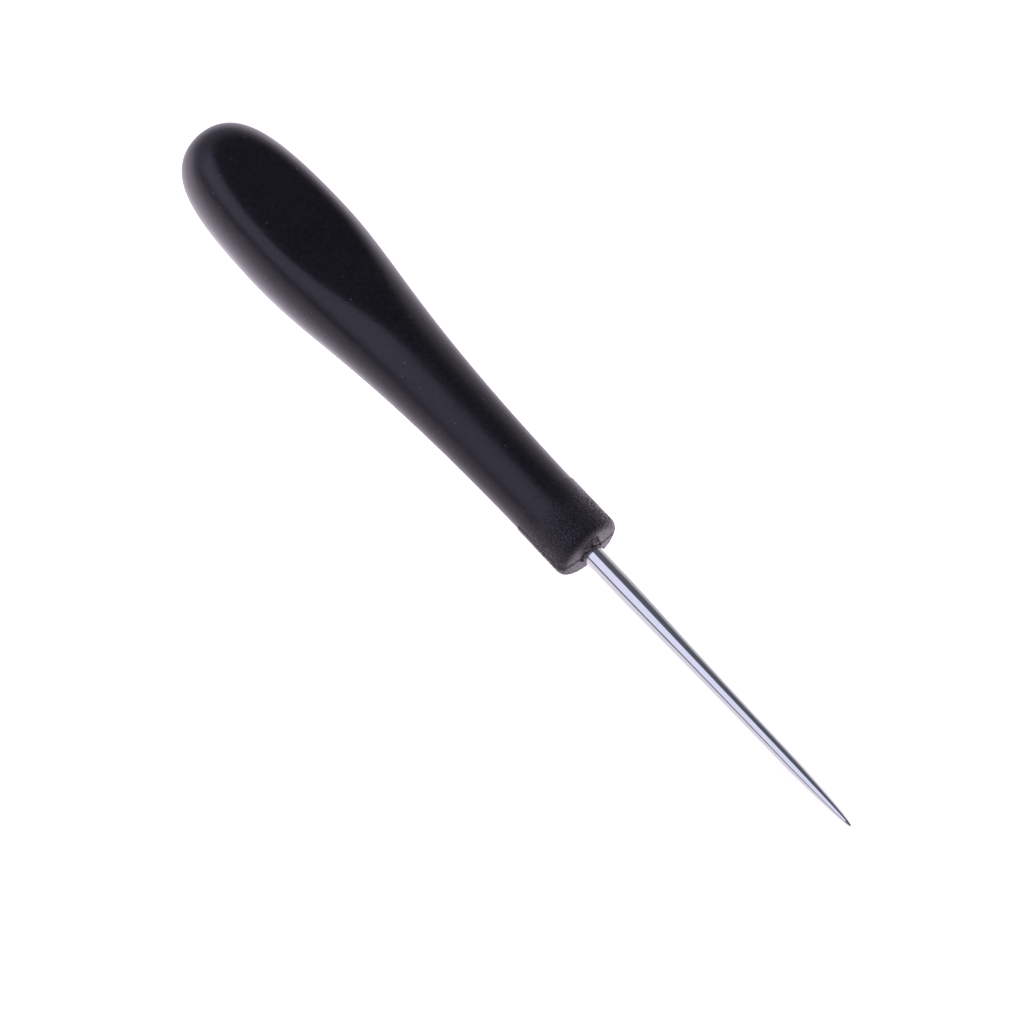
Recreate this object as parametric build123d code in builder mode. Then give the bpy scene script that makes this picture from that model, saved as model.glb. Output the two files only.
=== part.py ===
"""Scratch awl: a polished steel spike moulded into a two-shot plastic handle.

Frame: +X runs along the tool towards the point, +Z is the outward side of the upper thumb rest.
The origin is the centre of the collar's front face, where the spike leaves the handle.
All lengths are in millimetres.
"""
from build123d import *
from math import asin, degrees
import os

# Handle
handle_length = 102.25      # from the butt to the collar's front face
bulb_x = -76.3              # where the handle is thickest
bulb_radius = 10.28
neck_radius = 6.07          # of the grip where it meets the collar

# Thumb rests, one above and one below
rest_height = 7.88          # from the axis to the flat
rest_edge_fillet = 1.0

# Collar, the part of the core that shows
collar_length = 11.3
collar_radius = 6.23
collar_front_fillet = 1.5
collar_back_fillet = 0.1
face_land_radius = 2.4      # the front face is flat this far out, and crowned beyond it
face_crown_radius = 20.0

# Stem of the core, hidden inside the grip
stem_radius = 4.0
stem_end_x = -86.0
stem_end_fillet = 2.5
rib_reach = 5.0             # from the axis to the rib's outer face
rib_width = 1.6
rib_length = 10.0
rib_pitch = 15.0
rib_rows = 4
first_rib_x = -24.0

# Spike and its tang
spike_length = 62.2         # from the front face to the point
spike_radius = 1.82         # of the parallel root and of the tang
parallel_length = 8.0       # the root stays parallel this far out of the handle
shoulder_x = 49.0           # where the long taper turns into the point
shoulder_radius = 1.12
tip_radius = 0.2
tang_length = 46.0
tang_chamfer = 0.5
wing_x = -30.0              # middle of the swaged wings that lock the tang
wing_length = 9.0
wing_reach = 2.9            # from the axis to the wing's edge
wing_thickness = 1.3
wing_slope = 1.5            # length of each sloping end

butt_x = -handle_length
seam_x = -collar_length
clear = 3 * bulb_radius     # wide enough to cut right through the bulb

# Spike: a parallel root, a long taper and a steeper ground point, in one piece with its tang
with BuildPart() as spike:
    with BuildSketch(Plane.XZ):
        with BuildLine():
            tip_start = (spike_length - tip_radius, tip_radius)
            FilletPolyline(
                (-tang_length, 0),
                (-tang_length, spike_radius),
                (parallel_length, spike_radius),
                radius=tang_chamfer,
            )
            Bezier(
                (parallel_length, spike_radius),
                (parallel_length + 8, spike_radius - 0.07),
                (shoulder_x - 27, shoulder_radius + 0.22),
                (shoulder_x, shoulder_radius),
            )
            Bezier(
                (shoulder_x, shoulder_radius),
                (shoulder_x + 3.5, shoulder_radius - 0.16),
                (spike_length - 2.2, 0.72),
                tip_start,
            )
            RadiusArc(tip_start, (spike_length, 0), tip_radius)
            Line((spike_length, 0), (-tang_length, 0))
        make_face()
    revolve(axis=Axis.X)
    with BuildSketch(Plane.XY):
        with BuildLine():
            half = wing_length / 2
            Polyline(
                (wing_x - half, 0),
                (wing_x - half + wing_slope, wing_reach),
                (wing_x + half - wing_slope, wing_reach),
                (wing_x + half, 0),
                (wing_x + half - wing_slope, -wing_reach),
                (wing_x - half + wing_slope, -wing_reach),
                close=True,
            )
        make_face()
    extrude(amount=wing_thickness / 2, both=True)

# Solid form of the core: the collar that shows, and the ribbed stem that the grip is moulded over
with BuildPart() as core_form:
    with BuildSketch(Plane.XZ) as core_profile:
        with BuildLine():
            crown_angle = degrees(asin((collar_radius - face_land_radius) / face_crown_radius))
            crown = CenterArc(
                (-face_crown_radius, face_land_radius), face_crown_radius, 0, crown_angle
            )
            Polyline(
                crown @ 1,
                (seam_x, collar_radius),
                (seam_x, stem_radius),
                (stem_end_x, stem_radius),
                (stem_end_x, 0),
                (0, 0),
                crown @ 0,
            )
        make_face()
        for end, radius in ((-1, collar_front_fillet), (0, collar_back_fillet)):
            rims = core_profile.vertices().group_by(Axis.Y)[-1].sort_by(Axis.X)
            fillet(rims[end], radius=radius)
    revolve(axis=Axis.X)
    stem_end = core_form.edges().filter_by(GeomType.CIRCLE).sort_by(Axis.X)[0]
    fillet(stem_end, radius=stem_end_fillet)
    rib_places = [first_rib_x - rib_pitch * row for row in range(rib_rows)]
    with Locations(*[Location((x, 0, 0), (turn, 0, 0)) for x in rib_places for turn in (45, -45)]):
        Box(rib_length, rib_width, 2 * rib_reach)

# Handle core: that form, moulded round the tang and its wings
with BuildPart() as handle_core:
    add(core_form.part)
    add(spike.part, mode=Mode.SUBTRACT)

# Grip: the smooth outer shot, a long bulb on a slim neck, with a thumb rest on each side
with BuildPart() as grip:
    with BuildSketch(Plane.XZ):
        with BuildLine():
            Bezier(
                (butt_x, 0),
                (butt_x, 8.1),
                (bulb_x - 19.4, bulb_radius),
                (bulb_x, bulb_radius),
            )
            Bezier(
                (bulb_x, bulb_radius),
                (bulb_x + 16.2, bulb_radius),
                (seam_x - 42.3, neck_radius + 0.38),
                (seam_x, neck_radius),
            )
            Polyline((seam_x, neck_radius), (seam_x, 0), (butt_x, 0))
        make_face()
    revolve(axis=Axis.X)
    with Locations((bulb_x, 0, rest_height), (bulb_x, 0, -rest_height - clear)):
        rest_align = (Align.CENTER, Align.CENTER, Align.MIN)
        Box(handle_length, clear, clear, align=rest_align, mode=Mode.SUBTRACT)
    rests = grip.faces().filter_by(Plane.XY)
    fillet(rests.edges(), radius=rest_edge_fillet)
    add(core_form.part, mode=Mode.SUBTRACT)

os.makedirs("parts", exist_ok=True)
for piece, name in ((spike, "spike"), (handle_core, "handle_core"), (grip, "grip")):
    piece.part.label = name
    export_step(piece.part, f"parts/{name}.step")
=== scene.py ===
"""Scratch awl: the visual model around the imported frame, and the studio it is shown in.

Metres, in the part's own frame: +X runs along the tool to the point, +Z is out of the upper thumb rest.
"""
import math

import bmesh
import bpy
import numpy as np
from mathutils import Matrix, Vector, noise


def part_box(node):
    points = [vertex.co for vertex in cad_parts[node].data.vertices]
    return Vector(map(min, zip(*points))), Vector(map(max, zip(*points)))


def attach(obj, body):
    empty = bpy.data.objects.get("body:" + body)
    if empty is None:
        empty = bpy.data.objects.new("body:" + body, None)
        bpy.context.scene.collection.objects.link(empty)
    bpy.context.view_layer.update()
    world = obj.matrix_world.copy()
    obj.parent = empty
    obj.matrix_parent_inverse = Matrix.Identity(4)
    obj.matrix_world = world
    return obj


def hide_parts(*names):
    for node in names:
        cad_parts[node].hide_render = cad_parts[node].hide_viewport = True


MM = 0.001

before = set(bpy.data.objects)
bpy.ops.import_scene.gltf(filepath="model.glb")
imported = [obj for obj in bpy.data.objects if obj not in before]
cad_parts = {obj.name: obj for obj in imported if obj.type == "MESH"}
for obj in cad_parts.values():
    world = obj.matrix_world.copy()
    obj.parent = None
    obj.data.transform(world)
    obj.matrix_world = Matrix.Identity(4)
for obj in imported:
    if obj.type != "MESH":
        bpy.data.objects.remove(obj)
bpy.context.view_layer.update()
grip_low, grip_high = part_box("grip")
core_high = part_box("handle_core")[1]
spike_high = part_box("spike")[1]

# Shape of the grip. The pulls are how far its curves' control points lie from their ends.
BUTT_X = grip_low.x
SEAM_X = grip_high.x
BULB_X = -76.3 * MM
BULB_RADIUS = grip_high.y
NECK_RADIUS = 6.07 * MM
BUTT_PULL = 8.1 * MM
BULB_BACK_PULL = 19.4 * MM
BULB_FRONT_PULL = 16.2 * MM
NECK_PULL = 42.3 * MM
NECK_FLARE = 0.38 * MM       # the neck is this much thicker at its control point
SEAM_EDGE = 0.1 * MM         # a last short ring keeps the shading even up to the seam
REST_X = -71 * MM            # where a thumb rest comes closest to the axis
REST_HEIGHT = 7.74 * MM
REST_HOLLOW_RADIUS = 480 * MM
REST_SHARPNESS = 19          # higher gives the thumb rests a crisper edge
MIN_COSINE = 0.05            # keeps the rests' height finite at the grip's sides

# Shape of the collar
COLLAR_RADIUS = core_high.y
COLLAR_FRONT_FILLET = 1.5 * MM
COLLAR_BACK_FILLET = 0.1 * MM
FACE_LAND_RADIUS = 2.4 * MM  # the front face is flat this far out, and crowned beyond it
FACE_CROWN_RADIUS = 20 * MM
CUTTER_SIZE = 0.2            # of the cube that cuts away what shows, to leave the hidden ends

# Shape of the spike. A drop or rise is how much a control point's radius differs from its end's.
SPIKE_TIP_X = spike_high.x
SPIKE_RADIUS = 1.82 * MM
PARALLEL_X = 8 * MM          # the root stays parallel up to here
ROOT_PULL = 8 * MM
ROOT_DROP = 0.07 * MM
TAPER_PULL = 27 * MM
TAPER_RISE = 0.22 * MM
SHOULDER_X = 49 * MM         # where the long taper turns into the point
SHOULDER_RADIUS = 1.12 * MM
SHOULDER_PULL = 3.5 * MM
SHOULDER_DROP = 0.16 * MM
POINT_PULL = 2.2 * MM
POINT_RADIUS = 0.72 * MM
TIP_RADIUS = 0.2 * MM
TIP_LAST_ANGLE = 4           # degrees short of the very tip, which a small flat closes

# Points round each piece
GRIP_SIDES = 224
COLLAR_SIDES = 440
SPIKE_SIDES = 128

# Fine detail of the collar
DETAIL_X = SEAM_X + 0.3 * MM   # the collar stays exact behind here
GRAIN_X = SEAM_X + 0.8 * MM    # the grain starts here
GRAIN_FADE = 6 * MM            # and grows to its full depth over this length
GRAIN_CELL = 0.5 * MM          # from one pebble to the next
GRAIN_CREASE = 0.5             # how much of the way to a pebble's middle its slope reaches
GRAIN_DEPTH = 0.095 * MM
FACE_SMOOTHING = 0.6           # the share of the grain's depth that is lost on the face
PARTING_WIDTH = 0.15 * MM      # half the width of the mould's parting line
PARTING_DEPTH = 0.2 * MM
FLASH_OFFSET = 0.4 * MM        # the fine ridge of flash stands this far above the parting line
FLASH_WIDTH = 0.2 * MM         # half the width of the ridge
FLASH_HEIGHT = 0.08 * MM
BURR_REACH = 2.4 * MM          # the ragged plastic round the spike ends this far from the axis
BURR_CLIMB = 3.2 * MM          # and this much further out above the spike
BURR_CLIMB_POWER = 8           # higher keeps that stretch narrower
BURR_HEIGHT = 0.6 * MM
BURR_SIZE = 0.9 * MM           # from one burr to the next
BURR_ROUGHNESS = 0.25          # lower gives more fine detail
BURR_STEP = 2.2                # each layer of detail is finer by this ratio
BURR_LAYERS = 5
ROOT_GAP_DEPTH = 0.3 * MM      # of the gap between the spike and the plastic round it
ROOT_GAP_POWER = 6             # higher keeps the gap narrower
BORE_CLEARANCE = 0.01 * MM     # points nearer to the bore than this stay where they are


# ---------------------------------------------------------------- mesh helpers

def bezier(start, control_a, control_b, end, count):
    """Points along a cubic curve, the last one left out so that stretches join."""
    u = np.linspace(0, 1, count, endpoint=False)[:, None]
    v = 1 - u
    return (v**3 * np.array(start) + 3 * v**2 * u * np.array(control_a)
            + 3 * v * u**2 * np.array(control_b) + u**3 * np.array(end))


def line(start, end, count):
    """Evenly spaced points from start towards end, the last one left out."""
    u = np.linspace(0, 1, count, endpoint=False)[:, None]
    return (1 - u) * np.array(start) + u * np.array(end)


def arc(centre, radius, first_angle, last_angle, count):
    """Points on an arc in the profile plane, the last one left out. Angles in degrees."""
    a = np.radians(np.linspace(first_angle, last_angle, count, endpoint=False))
    return np.stack([centre[0] + radius * np.cos(a), centre[1] + radius * np.sin(a)], axis=1)


def ring_mesh(name, rings, closed_loop=False):
    """A closed surface through rings of points. Its ends are poles, or the rings form a loop."""
    count = rings.shape[1]
    points = rings.reshape(-1, 3)
    start = np.arange(len(rings) - (0 if closed_loop else 1)) * count
    after = np.roll(np.arange(count), -1)
    a = start[:, None] + np.arange(count)
    b = start[:, None] + after
    total = len(points)
    faces = np.stack([a, b, (b + count) % total, (a + count) % total], axis=-1).reshape(-1, 4).tolist()
    if not closed_loop:
        faces.append(list(range(count))[::-1])
        faces.append(list(range(total - count, total)))
    mesh = bpy.data.meshes.new(name)
    mesh.from_pydata(points.tolist(), [], faces)
    mesh.validate()
    work = bmesh.new()
    work.from_mesh(mesh)
    bmesh.ops.recalc_face_normals(work, faces=work.faces)
    work.to_mesh(mesh)
    work.free()
    piece = bpy.data.objects.new(name, mesh)
    bpy.context.scene.collection.objects.link(piece)
    return piece


def around(profile, count, radius_at=None):
    """Turns a profile of (x, r) points about the tool's axis. radius_at(x, r, angle) may change r."""
    angle = np.linspace(0, 2 * math.pi, count, endpoint=False)
    x = np.repeat(profile[:, :1], count, axis=1)
    r = np.repeat(profile[:, 1:], count, axis=1)
    if radius_at is not None:
        r = radius_at(x, r, angle[None, :])
    return np.stack([x, r * np.sin(angle), r * np.cos(angle)], axis=-1)


def cut(piece, tool):
    """Cuts the tool's shape from the piece, and removes the tool."""
    modifier = piece.modifiers.new("cut", "BOOLEAN")
    modifier.operation = "DIFFERENCE"
    modifier.solver = "EXACT"
    modifier.object = tool
    bpy.context.view_layer.update()
    graph = bpy.context.evaluated_depsgraph_get()
    result = bpy.data.meshes.new_from_object(piece.evaluated_get(graph))
    piece.modifiers.clear()
    piece.data = result
    bpy.data.objects.remove(tool)


def cad_copy(node):
    """A welded copy of a CAD node's solid."""
    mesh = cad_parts[node].data.copy()
    work = bmesh.new()
    work.from_mesh(mesh)
    bmesh.ops.remove_doubles(work, verts=work.verts, dist=1e-7)
    work.to_mesh(mesh)
    work.free()
    mesh.materials.clear()
    solid = bpy.data.objects.new(node + "_copy", mesh)
    bpy.context.scene.collection.objects.link(solid)
    return solid


def hidden_end(node):
    """A copy of the part of a CAD node's solid that lies inside the grip, behind the seam."""
    solid = cad_copy(node)
    bpy.ops.mesh.primitive_cube_add(size=CUTTER_SIZE, location=(SEAM_X + CUTTER_SIZE / 2, 0, 0))
    cut(solid, bpy.context.object)
    return solid


def join(piece, other):
    """Adds the other object's mesh to the piece and removes the other object."""
    work = bmesh.new()
    work.from_mesh(piece.data)
    work.from_mesh(other.data)
    work.to_mesh(piece.data)
    work.free()
    bpy.data.objects.remove(other)


def keep_largest_shell(piece):
    """Removes every closed shell of the piece but the one with the most points."""
    work = bmesh.new()
    work.from_mesh(piece.data)
    unseen = set(work.verts)
    shells = []
    while unseen:
        front = [unseen.pop()]
        shell = list(front)
        while front:
            vertex = front.pop()
            reached = {edge.other_vert(vertex) for edge in vertex.link_edges} & unseen
            unseen -= reached
            front.extend(reached)
            shell.extend(reached)
        shells.append(shell)
    shells.sort(key=len)
    for shell in shells[:-1]:
        bmesh.ops.delete(work, geom=shell, context="VERTS")
    work.to_mesh(piece.data)
    work.free()


def finish_piece(piece, node, material, crease_angle):
    """Shades the piece, gives it its material and ties it to the frame."""
    mesh = piece.data
    mesh.shade_smooth()
    mesh.set_sharp_from_angle(angle=math.radians(crease_angle))
    mesh.materials.clear()
    mesh.materials.append(material)
    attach(piece, "root")
    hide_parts(node)


# ---------------------------------------------------------------- materials

# Colours
GRIP_DARK = (0.0005, 0.0004, 0.0008)
GRIP_LIGHT = (0.0042, 0.0037, 0.0049)
SPECK_COLOUR = (0.07, 0.07, 0.075)
# Painted shade and light in the grain: the creases are painted dark and the pebble tops a little lighter
CREASE_SHADE_COLOUR = (0.0002, 0.0002, 0.0003)
PEBBLE_TOP_LIT_COLOUR = (0.0062, 0.0055, 0.0066)
CORE_DARK = (0.0022, 0.0020, 0.0028)
CORE_LIGHT = (0.0038, 0.0034, 0.0044)
# Painted light: the front face is coloured lighter for the bright floor it reflects at a grazing angle
FACE_PAINTED_LIGHT_COLOUR = (0.056, 0.047, 0.052)
# Painted highlight on the tips of the burrs round the spike
BURR_HIGHLIGHT_COLOUR = (0.40, 0.36, 0.33)
STEEL_DARK = (0.56, 0.57, 0.57)
STEEL_LIGHT = (0.64, 0.65, 0.65)
GLOSS_TINT = (0.97, 0.90, 1.0, 1)
HAZE_TINT = (1.0, 0.80, 1.0, 1)

# Pattern scales, in cells or waves per metre
CLOUD_SCALE = 90.0
RIPPLE_SCALE = 1500.0
SPECK_SCALE = 500.0
PEBBLE_SCALE = 1900.0
FINE_SCALE = 5000.0
STEEL_CLOUD_SCALE = 250.0
STEEL_MARK_SCALE = (60, 9000, 9000)    # long along the spike, fine round it

# Depths of the bumps
RIPPLE_BUMP = 0.02 * MM
PEBBLE_BUMP = 0.06 * MM
FINE_BUMP = 0.02 * MM
MARK_BUMP = 0.004 * MM

# Polish: the grip is glossier on the bulb than on the neck, and the core is glossier on its pebbles
BULB_POLISH_X = -60 * MM
NECK_POLISH_X = -30 * MM
BULB_ROUGHNESS = 0.30
NECK_ROUGHNESS = 0.38
CREASE_ROUGHNESS = 0.50
PEBBLE_ROUGHNESS = 0.30
STEEL_ROUGHNESS = (0.07, 0.12)
HAZE_ROUGHNESS = 0.35
PLASTIC_IOR = 1.45
GRIP_HAZE = 0.10
CORE_HAZE = 0.18

# Where the patterns turn from one state to the other
NOISE_RANGE = (0.3, 0.7)               # noise seldom leaves this range
SPECK_RANGE = (0.03, 0.085)            # the middle of a speck, and its edge, as parts of a cell
DUSTY_RANGE = (0.40, 0.50)             # of the cloud, from clean to dusty
POLISH_SHIFT = (-0.02, 0.03)           # what the cloud adds to the roughness
PEBBLE_EDGE = 0.22                     # width of a pebble's slope, as a part of a cell
FACE_RANGE = (-0.3 * MM, -0.02 * MM)   # the sides end and the face is whole here
BURR_HIGHLIGHT_RANGE = (0.05 * MM, 0.2 * MM)     # burrs that stand out this far are painted lighter: a painted highlight on their tips

# Strengths of the bumps
RIPPLE_STRENGTH = 0.8
FACE_PEBBLE_STRENGTH = 0.25
FINE_STRENGTH = 0.3
MARK_STRENGTH = 0.15
NO_STRETCH = (1, 1, 1)


def new_material(name):
    """A material with a Principled shader, and the helpers to add nodes to it."""
    material = bpy.data.materials.new(name)
    material.use_nodes = True
    nodes = material.node_tree.nodes
    return material, nodes, material.node_tree.links, nodes["Principled BSDF"]


def add_node(nodes, kind, **values):
    """A new node with its inputs and properties set by name."""
    node = nodes.new(kind)
    for key, value in values.items():
        if key in node.inputs:
            node.inputs[key].default_value = value
        else:
            setattr(node, key, value)
    return node


def scaled_position(nodes, links, scale):
    """The surface point in the part's frame, stretched by scale along each axis."""
    place = nodes.new("ShaderNodeTexCoord")
    mapping = nodes.new("ShaderNodeMapping")
    mapping.inputs["Scale"].default_value = scale
    links.new(place.outputs["Object"], mapping.inputs["Vector"])
    return mapping.outputs["Vector"]


def ramp(nodes, links, value, low, high, to_low, to_high):
    """Maps a value smoothly from one range to another."""
    node = nodes.new("ShaderNodeMapRange")
    node.interpolation_type = "SMOOTHSTEP"
    node.inputs["From Min"].default_value = low
    node.inputs["From Max"].default_value = high
    node.inputs["To Min"].default_value = to_low
    node.inputs["To Max"].default_value = to_high
    links.new(value, node.inputs["Value"])
    return node.outputs["Result"]


def bump(nodes, links, height, distance, strength, below=None):
    """A bump from a height, on top of another bump if one is given."""
    node = nodes.new("ShaderNodeBump")
    node.inputs["Distance"].default_value = distance
    node.inputs["Strength"].default_value = strength
    links.new(height, node.inputs["Height"])
    if below is not None:
        links.new(below, node.inputs["Normal"])
    return node.outputs["Normal"]


def mix_colour(nodes, links, factor, first, second):
    """Blends two colours. Each may be a constant or a socket."""
    node = nodes.new("ShaderNodeMix")
    node.data_type = "RGBA"
    links.new(factor, node.inputs["Factor"])
    for socket, colour in ((node.inputs["A"], first), (node.inputs["B"], second)):
        if isinstance(colour, tuple):
            socket.default_value = (*colour, 1)
        else:
            links.new(colour, socket)
    return node.outputs["Result"]


def plastic(name, haze):
    """The start of both plastics: satin black with a faint haze at grazing angles."""
    material, nodes, links, shader = new_material(name)
    shader.inputs["IOR"].default_value = PLASTIC_IOR
    shader.inputs["Specular Tint"].default_value = GLOSS_TINT
    shader.inputs["Sheen Weight"].default_value = haze
    shader.inputs["Sheen Roughness"].default_value = HAZE_ROUGHNESS
    shader.inputs["Sheen Tint"].default_value = HAZE_TINT
    return material, nodes, links, shader


def grip_material():
    """Satin black plastic: a faint mould ripple, a little handling polish and a few specks of dust."""
    material, nodes, links, shader = plastic("grip_plastic", GRIP_HAZE)
    place = scaled_position(nodes, links, NO_STRETCH)
    cloud = add_node(nodes, "ShaderNodeTexNoise", Scale=CLOUD_SCALE, Detail=3.0)
    ripple = add_node(nodes, "ShaderNodeTexNoise", Scale=RIPPLE_SCALE, Detail=2.0)
    specks = add_node(nodes, "ShaderNodeTexVoronoi", Scale=SPECK_SCALE)
    for node in (cloud, ripple, specks):
        links.new(place, node.inputs["Vector"])
    near_speck = ramp(nodes, links, specks.outputs["Distance"], *SPECK_RANGE, 1.0, 0.0)
    is_speck = add_node(nodes, "ShaderNodeMath", operation="MULTIPLY")
    links.new(near_speck, is_speck.inputs[0])
    links.new(ramp(nodes, links, cloud.outputs["Fac"], *DUSTY_RANGE, 0.0, 1.0), is_speck.inputs[1])
    mottle = ramp(nodes, links, ripple.outputs["Fac"], *NOISE_RANGE, 0.0, 1.0)
    tone = mix_colour(nodes, links, mottle, GRIP_DARK, GRIP_LIGHT)
    colour = mix_colour(nodes, links, is_speck.outputs["Value"], tone, SPECK_COLOUR)
    links.new(colour, shader.inputs["Base Color"])
    split = nodes.new("ShaderNodeSeparateXYZ")
    links.new(place, split.inputs["Vector"])
    roughness = add_node(nodes, "ShaderNodeMath", operation="ADD")
    polish = ramp(nodes, links, split.outputs["X"], BULB_POLISH_X, NECK_POLISH_X,
                  BULB_ROUGHNESS, NECK_ROUGHNESS)
    links.new(polish, roughness.inputs[0])
    links.new(ramp(nodes, links, cloud.outputs["Fac"], *NOISE_RANGE, *POLISH_SHIFT), roughness.inputs[1])
    links.new(roughness.outputs["Value"], shader.inputs["Roughness"])
    links.new(bump(nodes, links, ripple.outputs["Fac"], RIPPLE_BUMP, RIPPLE_STRENGTH),
              shader.inputs["Normal"])
    return material


def core_material():
    """Hard black plastic with a moulded grain that is strongest near the front of the collar."""
    material, nodes, links, shader = plastic("core_plastic", CORE_HAZE)
    place = scaled_position(nodes, links, NO_STRETCH)
    grain = add_node(nodes, "ShaderNodeTexVoronoi", Scale=PEBBLE_SCALE, feature="DISTANCE_TO_EDGE")
    fine = add_node(nodes, "ShaderNodeTexNoise", Scale=FINE_SCALE, Detail=3.0)
    for node in (grain, fine):
        links.new(place, node.inputs["Vector"])
    split = nodes.new("ShaderNodeSeparateXYZ")
    links.new(place, split.inputs["Vector"])
    grained = ramp(nodes, links, split.outputs["X"], GRAIN_X, SEAM_X + GRAIN_FADE, 0.0, 1.0)
    pebble = ramp(nodes, links, grain.outputs["Distance"], 0.0, PEBBLE_EDGE, 0.0, 1.0)
    # Painted shade in the creases between the pebbles and painted light on their tops, for the shade that
    # falls in the grain
    crease_shaded_tone = mix_colour(nodes, links, pebble, CREASE_SHADE_COLOUR, PEBBLE_TOP_LIT_COLOUR)
    plain = mix_colour(nodes, links, fine.outputs["Fac"], CORE_DARK, CORE_LIGHT)
    on_face = ramp(nodes, links, split.outputs["X"], *FACE_RANGE, 0.0, 1.0)
    sides = mix_colour(nodes, links, grained, plain, crease_shaded_tone)
    # Painted light on the front face, for the floor's reflection in it
    tone = mix_colour(nodes, links, on_face, sides, FACE_PAINTED_LIGHT_COLOUR)
    # Painted highlight: the burrs' tips that stand out from the face are coloured lighter
    burr_highlight = ramp(nodes, links, split.outputs["X"], *BURR_HIGHLIGHT_RANGE, 0.0, 1.0)
    links.new(mix_colour(nodes, links, burr_highlight, tone, BURR_HIGHLIGHT_COLOUR), shader.inputs["Base Color"])
    links.new(ramp(nodes, links, pebble, 0.0, 1.0, CREASE_ROUGHNESS, PEBBLE_ROUGHNESS),
              shader.inputs["Roughness"])
    first = nodes.new("ShaderNodeBump")
    first.inputs["Distance"].default_value = PEBBLE_BUMP
    depth = add_node(nodes, "ShaderNodeMath", operation="MULTIPLY")
    links.new(grained, depth.inputs[0])
    links.new(ramp(nodes, links, on_face, 0.0, 1.0, 1.0, FACE_PEBBLE_STRENGTH), depth.inputs[1])
    links.new(depth.outputs["Value"], first.inputs["Strength"])
    links.new(pebble, first.inputs["Height"])
    links.new(bump(nodes, links, fine.outputs["Fac"], FINE_BUMP, FINE_STRENGTH, first.outputs["Normal"]),
              shader.inputs["Normal"])
    return material


def steel_material():
    """Bright polished steel with fine grinding marks along its length."""
    material, nodes, links, shader = new_material("spike_steel")
    shader.inputs["Metallic"].default_value = 1.0
    along = scaled_position(nodes, links, STEEL_MARK_SCALE)
    marks = add_node(nodes, "ShaderNodeTexNoise", Scale=1.0, Detail=3.0)
    links.new(along, marks.inputs["Vector"])
    cloud = add_node(nodes, "ShaderNodeTexNoise", Scale=STEEL_CLOUD_SCALE, Detail=2.0)
    links.new(scaled_position(nodes, links, NO_STRETCH), cloud.inputs["Vector"])
    tone = mix_colour(nodes, links, marks.outputs["Fac"], STEEL_DARK, STEEL_LIGHT)
    links.new(tone, shader.inputs["Base Color"])
    links.new(ramp(nodes, links, cloud.outputs["Fac"], *NOISE_RANGE, *STEEL_ROUGHNESS),
              shader.inputs["Roughness"])
    links.new(bump(nodes, links, marks.outputs["Fac"], MARK_BUMP, MARK_STRENGTH), shader.inputs["Normal"])
    return material


# ---------------------------------------------------------------- the grip

def rested_radius(x, r, angle):
    """Radius of the grip where the hollow thumb rests soften into its round form."""
    height = REST_HEIGHT + REST_HOLLOW_RADIUS - np.sqrt(REST_HOLLOW_RADIUS**2 - (x - REST_X) ** 2)
    reach = height / np.maximum(np.abs(np.cos(angle)), MIN_COSINE)
    above_zero = np.maximum(r, 1e-6)
    return (above_zero**-REST_SHARPNESS + reach**-REST_SHARPNESS) ** (-1 / REST_SHARPNESS)


def make_grip(material):
    """The outer shot: a long bulb on a slim neck, with a thumb rest above and below."""
    profile = np.vstack([
        bezier((BUTT_X, 0), (BUTT_X, BUTT_PULL),
               (BULB_X - BULB_BACK_PULL, BULB_RADIUS), (BULB_X, BULB_RADIUS), 90)[1:],
        bezier((BULB_X, BULB_RADIUS), (BULB_X + BULB_FRONT_PULL, BULB_RADIUS),
               (SEAM_X - NECK_PULL, NECK_RADIUS + NECK_FLARE), (SEAM_X, NECK_RADIUS), 130)[:-1],
        [(SEAM_X - SEAM_EDGE, NECK_RADIUS), (SEAM_X, NECK_RADIUS)],
    ])
    piece = ring_mesh("grip_body", around(profile, GRIP_SIDES, rested_radius))
    cut(piece, cad_copy("handle_core"))
    keep_largest_shell(piece)    # drops the plug left inside the core's own hollow for the tang
    finish_piece(piece, "grip", material, 35)


# ---------------------------------------------------------------- the core

def tangent_rim():
    """Where the collar's front rim starts, and the angle at which it runs into the crowned face."""
    centre_r = COLLAR_RADIUS - COLLAR_FRONT_FILLET
    between = FACE_CROWN_RADIUS - COLLAR_FRONT_FILLET
    angle = math.asin((centre_r - FACE_LAND_RADIUS) / between)
    return between * math.cos(angle) - FACE_CROWN_RADIUS, math.degrees(angle)


RIM_X, RIM_ANGLE = tangent_rim()


def grain_height(point):
    """Pebbled moulding grain, from 0 in the creases between the pebbles to 1 on their flat tops."""
    distances, _ = noise.voronoi(point / GRAIN_CELL)
    return min(1.0, (distances[1] - distances[0]) / GRAIN_CREASE)


def make_core(material):
    """The collar with its grain and parting line, joined to the hidden stem."""
    back = (SEAM_X + COLLAR_BACK_FILLET, COLLAR_RADIUS - COLLAR_BACK_FILLET)
    rim = (RIM_X, COLLAR_RADIUS - COLLAR_FRONT_FILLET)
    crown = (-FACE_CROWN_RADIUS, FACE_LAND_RADIUS)
    profile = np.vstack([
        line((SEAM_X, SPIKE_RADIUS), (SEAM_X, back[1]), 4),
        arc(back, COLLAR_BACK_FILLET, 180, 90, 6),
        line((back[0], COLLAR_RADIUS), (RIM_X, COLLAR_RADIUS), 112),
        arc(rim, COLLAR_FRONT_FILLET, 90, RIM_ANGLE, 26),
        arc(crown, FACE_CROWN_RADIUS, RIM_ANGLE, 0, 32),
        line((0, FACE_LAND_RADIUS), (0, SPIKE_RADIUS), 8),
        line((0, SPIKE_RADIUS), (SEAM_X, SPIKE_RADIUS), 8),
    ])
    rings = around(profile, COLLAR_SIDES)
    shape_collar(rings)
    piece = ring_mesh("core_with_collar", rings, closed_loop=True)
    join(piece, hidden_end("handle_core"))
    finish_piece(piece, "handle_core", material, 50)


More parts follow.
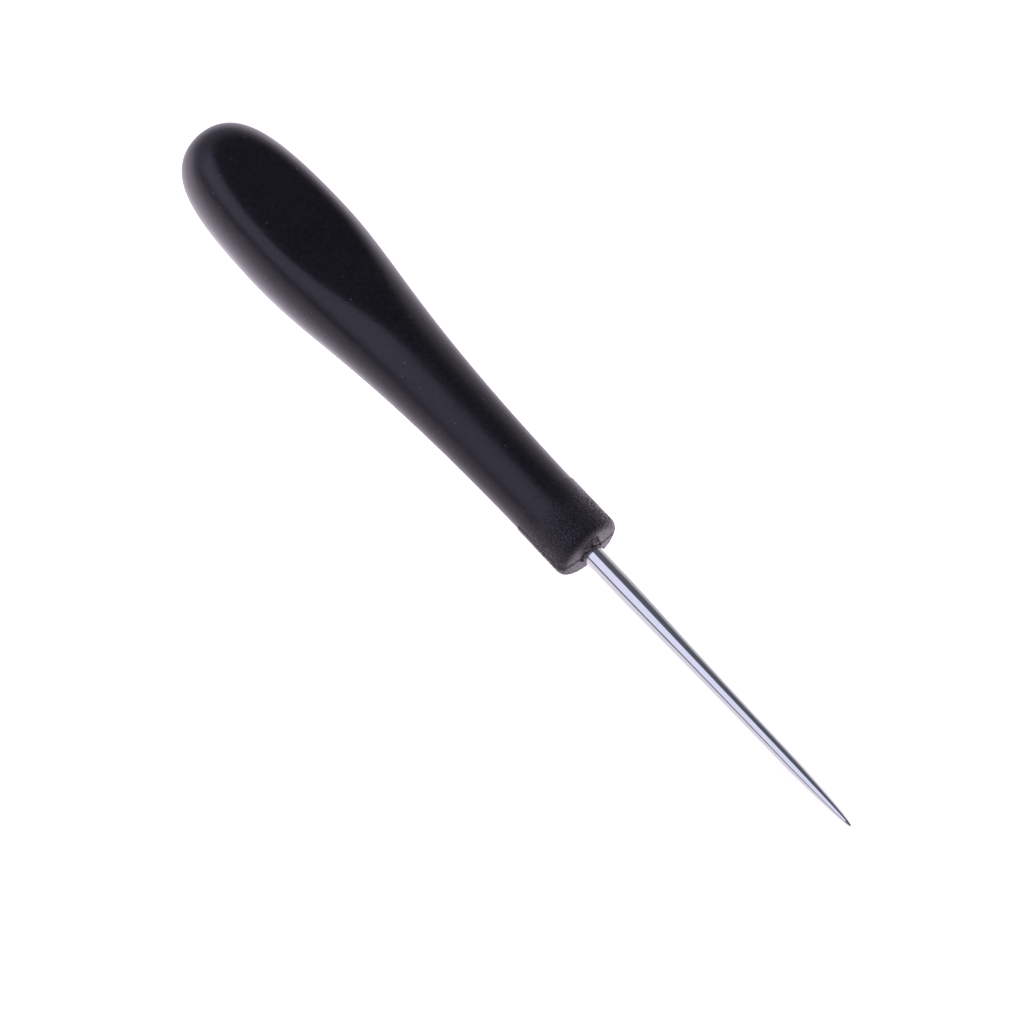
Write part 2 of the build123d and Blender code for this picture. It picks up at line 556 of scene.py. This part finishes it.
def collar_outward(point, r):
    """The outward direction of the plain collar at a point on its surface, r from the axis."""
    radial = Vector((0, point[1] / r, point[2] / r))
    if point[0] < RIM_X:
        return radial
    centre = (RIM_X, COLLAR_RADIUS - COLLAR_FRONT_FILLET)
    if math.atan2(r - centre[1], point[0] - centre[0]) < math.radians(RIM_ANGLE):
        centre = (-FACE_CROWN_RADIUS, min(r, FACE_LAND_RADIUS))
    return (Vector((point[0] - centre[0], 0, 0)) + radial * (r - centre[1])).normalized()


def ridge(distance, half_width):
    """1 at no distance, falling evenly to 0 at half_width."""
    return max(0.0, 1 - abs(distance) / half_width)


def shape_collar(rings):
    """Presses in the grain and the mould's parting line, and raises burrs round the spike."""
    for ring in rings:
        for point in ring:
            x, _, z = point
            r = math.hypot(point[1], z)
            if r < SPIKE_RADIUS + BORE_CLEARANCE or x < DETAIL_X:
                continue
            place = Vector(point)
            fade = min(1.0, max(0.0, (x - GRAIN_X) / GRAIN_FADE))
            fade *= 1 - FACE_SMOOTHING * min(1.0, max(0.0, 1 - x / RIM_X))
            rise = GRAIN_DEPTH * fade * (grain_height(place) - 1)
            rise -= PARTING_DEPTH * ridge(z, PARTING_WIDTH)
            rise += FLASH_HEIGHT * ridge(z - FLASH_OFFSET, FLASH_WIDTH)
            reach = BURR_REACH + BURR_CLIMB * max(0.0, z / r) ** BURR_CLIMB_POWER
            if x > RIM_X and r < reach:
                near = 1 - (r - SPIKE_RADIUS) / (reach - SPIKE_RADIUS)
                ragged = noise.fractal(place / BURR_SIZE, BURR_ROUGHNESS, BURR_STEP, BURR_LAYERS)
                rise += BURR_HEIGHT * near * ragged
                rise -= ROOT_GAP_DEPTH * near**ROOT_GAP_POWER
            point += np.array(collar_outward(point, r)) * rise


# ---------------------------------------------------------------- the spike

def make_spike(material):
    """A parallel root, a long taper and a steeper ground point, joined to the hidden tang."""
    tip_start = (SPIKE_TIP_X - TIP_RADIUS, TIP_RADIUS)
    profile = np.vstack([
        line((SEAM_X, SPIKE_RADIUS), (PARALLEL_X, SPIKE_RADIUS), 30),
        bezier((PARALLEL_X, SPIKE_RADIUS), (PARALLEL_X + ROOT_PULL, SPIKE_RADIUS - ROOT_DROP),
               (SHOULDER_X - TAPER_PULL, SHOULDER_RADIUS + TAPER_RISE), (SHOULDER_X, SHOULDER_RADIUS), 90),
        bezier((SHOULDER_X, SHOULDER_RADIUS), (SHOULDER_X + SHOULDER_PULL, SHOULDER_RADIUS - SHOULDER_DROP),
               (SPIKE_TIP_X - POINT_PULL, POINT_RADIUS), tip_start, 60),
        arc((SPIKE_TIP_X - TIP_RADIUS, 0), TIP_RADIUS, 90, TIP_LAST_ANGLE, 10),
    ])
    piece = ring_mesh("spike_blade", around(profile, SPIKE_SIDES))
    join(piece, hidden_end("spike"))
    finish_piece(piece, "spike", material, 30)


# ---------------------------------------------------------------- the studio

PANEL_DISTANCE = 0.9
COOL_WHITE = (0.77, 0.77, 1.0)
CARD_WHITE = (1.0, 0.99, 1.0)
FILL_WHITE = (1.0, 0.985, 1.0)
ROOM_COLOUR = (0.135, 0.14, 0.175, 1)
WINDOW_ANGLES = (5, 75)                # degrees from straight up towards -Y
WINDOW_LENGTH = 1.5
WINDOW_RADIANCE = 1.3
WINDOW_X = -0.6
FAR_CARD_ANGLE = -49                   # where the first card on the far side starts
FAR_CARD_STEP = 9.5                    # degrees that each card takes up
FAR_CARD_RADIANCES = (0.12, 0.37, 0.60, 0.76)
FAR_CARD_LENGTH = 2.4
BUTT_CARD_ELEVATION = 20
BUTT_CARD_SIZE = (1.2, 0.6)
BUTT_CARD_RADIANCE = 0.5
FILL_DISTANCE = 1.3
FILL_SIZE = (1.6, 1.6)
FILL_RADIANCE = 1.3
BELLY_X = -52 * MM                     # the front end of the lower thumb rest
BELLY_Z = -8.1 * MM
FLOOR_GAP = 0.02 * MM
FLOOR_SIZE = 2.4
FLOOR_COLOUR = (0.25, 0.24, 0.25, 1)
FLOOR_GLOW_COLOUR = (1.04, 0.96, 1.09, 1)
FLOOR_GLOW = 0.86                      # the light that the floor gives off everywhere
LINE_GLOW = 1.85                       # and more along a line that slants under the awl: a painted pool of light
LINE_REACH = 0.034                     # how far from the line it falls back to the floor's own
LINE_ACROSS = (-0.354, 1, 0)           # the line's direction is square to this
LINE_OFFSET = 0.0186
CAMERA_AZIMUTH = 44.28                 # from -Y towards +X, in degrees
CAMERA_ELEVATION = 63.12
CAMERA_ROLL = 5.68
CAMERA_TARGET = Vector((-14.3, -4.62, -1.64)) * MM
CAMERA_DISTANCE = 559.5 * MM
CAMERA_LENS = 119.5
CAMERA_SENSOR = 36
CAMERA_CLIP_START = 0.01


def area_light(name, towards, along, distance, size, radiance, colour, centre_x=0.0, seen_in_gloss=True):
    """A soft panel that faces the awl. towards is its direction, along the direction of its first side."""
    light = bpy.data.lights.new(name, "AREA")
    light.shape = "RECTANGLE"
    light.size, light.size_y = size
    light.energy = radiance * size[0] * size[1] * math.pi
    light.color = colour
    lamp = bpy.data.objects.new(name, light)
    basis = Matrix((along, towards.cross(along), towards)).transposed()
    place = Vector((centre_x, 0, 0)) + towards * distance
    lamp.matrix_world = Matrix.Translation(place) @ basis.to_4x4()
    lamp.visible_camera = False
    lamp.visible_glossy = seen_in_gloss
    bpy.context.scene.collection.objects.link(lamp)


def strip(name, first, last, length, radiance, colour, centre_x=0.0):
    """A panel along the awl, from first to last in degrees from straight up towards -Y."""
    turn = math.radians((first + last) / 2)
    towards = Vector((0, -math.sin(turn), math.cos(turn)))
    size = (length, 2 * PANEL_DISTANCE * math.tan(math.radians(abs(last - first) / 2)))
    area_light(name, towards, Vector((1, 0, 0)), PANEL_DISTANCE, size, radiance, colour, centre_x)


def make_lights():
    """One big soft window on the -Y side, cards on the far side and past the butt, and an overhead fill."""
    strip("window", *WINDOW_ANGLES, WINDOW_LENGTH, WINDOW_RADIANCE, COOL_WHITE, centre_x=WINDOW_X)
    for step, radiance in enumerate(FAR_CARD_RADIANCES):
        first = FAR_CARD_ANGLE - FAR_CARD_STEP * step
        strip("far_card_" + str(step), first, first - FAR_CARD_STEP, FAR_CARD_LENGTH, radiance, CARD_WHITE)
    rise = math.radians(BUTT_CARD_ELEVATION)
    low = Vector((-math.cos(rise), 0, math.sin(rise)))
    area_light("butt_card", low, Vector((0, 1, 0)), PANEL_DISTANCE, BUTT_CARD_SIZE, BUTT_CARD_RADIANCE,
               COOL_WHITE)
    area_light("overhead_fill", Vector((0, 0, 1)), Vector((1, 0, 0)), FILL_DISTANCE, FILL_SIZE,
               FILL_RADIANCE, FILL_WHITE, seen_in_gloss=False)


def make_world():
    """A dim room, with plain white behind whatever the camera sees past the floor."""
    world = bpy.data.worlds.new("studio")
    bpy.context.scene.world = world
    world.use_nodes = True
    nodes, links = world.node_tree.nodes, world.node_tree.links
    room = nodes["Background"]
    room.inputs["Color"].default_value = ROOM_COLOUR
    white = nodes.new("ShaderNodeBackground")
    path = nodes.new("ShaderNodeLightPath")
    mix = nodes.new("ShaderNodeMixShader")
    links.new(path.outputs["Is Camera Ray"], mix.inputs["Fac"])
    links.new(room.outputs["Background"], mix.inputs[1])
    links.new(white.outputs["Background"], mix.inputs[2])
    links.new(mix.outputs["Shader"], nodes["World Output"].inputs["Surface"])
    white.inputs["Color"].default_value = (1, 1, 1, 1)


def make_floor():
    """A white floor just under the lower thumb rest and the collar's rim, as the awl lies. It gives off
    light of its own everywhere, and more along a line under the awl: a painted pool of light.
    """
    slope = (-COLLAR_RADIUS - BELLY_Z) / (RIM_X - BELLY_X)
    bpy.ops.mesh.primitive_grid_add(x_subdivisions=24, y_subdivisions=24, size=FLOOR_SIZE)
    floor = bpy.context.object
    floor.name = "floor"
    floor.rotation_euler = (0, -math.atan(slope), 0)
    floor.location = (0, 0, BELLY_Z - slope * BELLY_X - FLOOR_GAP)
    material, nodes, links, shader = new_material("floor_white")
    shader.inputs["Base Color"].default_value = FLOOR_COLOUR
    shader.inputs["Roughness"].default_value = 0.9
    shader.inputs["Specular IOR Level"].default_value = 0.1
    shader.inputs["Emission Color"].default_value = FLOOR_GLOW_COLOUR
    across_line = add_node(nodes, "ShaderNodeVectorMath", operation="DOT_PRODUCT")
    across_line.inputs[1].default_value = LINE_ACROSS
    links.new(scaled_position(nodes, links, NO_STRETCH), across_line.inputs[0])
    from_line = add_node(nodes, "ShaderNodeMath", operation="SUBTRACT")
    from_line.inputs[1].default_value = LINE_OFFSET
    links.new(across_line.outputs["Value"], from_line.inputs[0])
    distance = add_node(nodes, "ShaderNodeMath", operation="ABSOLUTE")
    links.new(from_line.outputs["Value"], distance.inputs[0])
    links.new(ramp(nodes, links, distance.outputs["Value"], 0.0, LINE_REACH, LINE_GLOW, FLOOR_GLOW),
              shader.inputs["Emission Strength"])
    floor.data.materials.append(material)


def make_camera():
    """Looks down on the awl from the side of its point."""
    azimuth = math.radians(CAMERA_AZIMUTH)
    elevation = math.radians(CAMERA_ELEVATION)
    back = Vector((math.sin(azimuth) * math.cos(elevation),
                   -math.cos(azimuth) * math.cos(elevation), math.sin(elevation)))
    right = Vector((0, 0, 1)).cross(back).normalized()
    basis = Matrix((right, back.cross(right), back)).transposed()
    camera = bpy.data.objects.new("camera", bpy.data.cameras.new("camera"))
    camera.data.lens = CAMERA_LENS
    camera.data.sensor_width = CAMERA_SENSOR
    camera.data.clip_start = CAMERA_CLIP_START
    camera.matrix_world = (Matrix.Translation(CAMERA_TARGET + back * CAMERA_DISTANCE)
                           @ basis.to_4x4() @ Matrix.Rotation(math.radians(CAMERA_ROLL), 4, "Z"))
    bpy.context.scene.collection.objects.link(camera)
    bpy.context.scene.camera = camera


make_camera()
make_grip(grip_material())
make_core(core_material())
make_spike(steel_material())
make_world()
make_lights()
make_floor()
bpy.context.scene.view_settings.view_transform = "Standard"
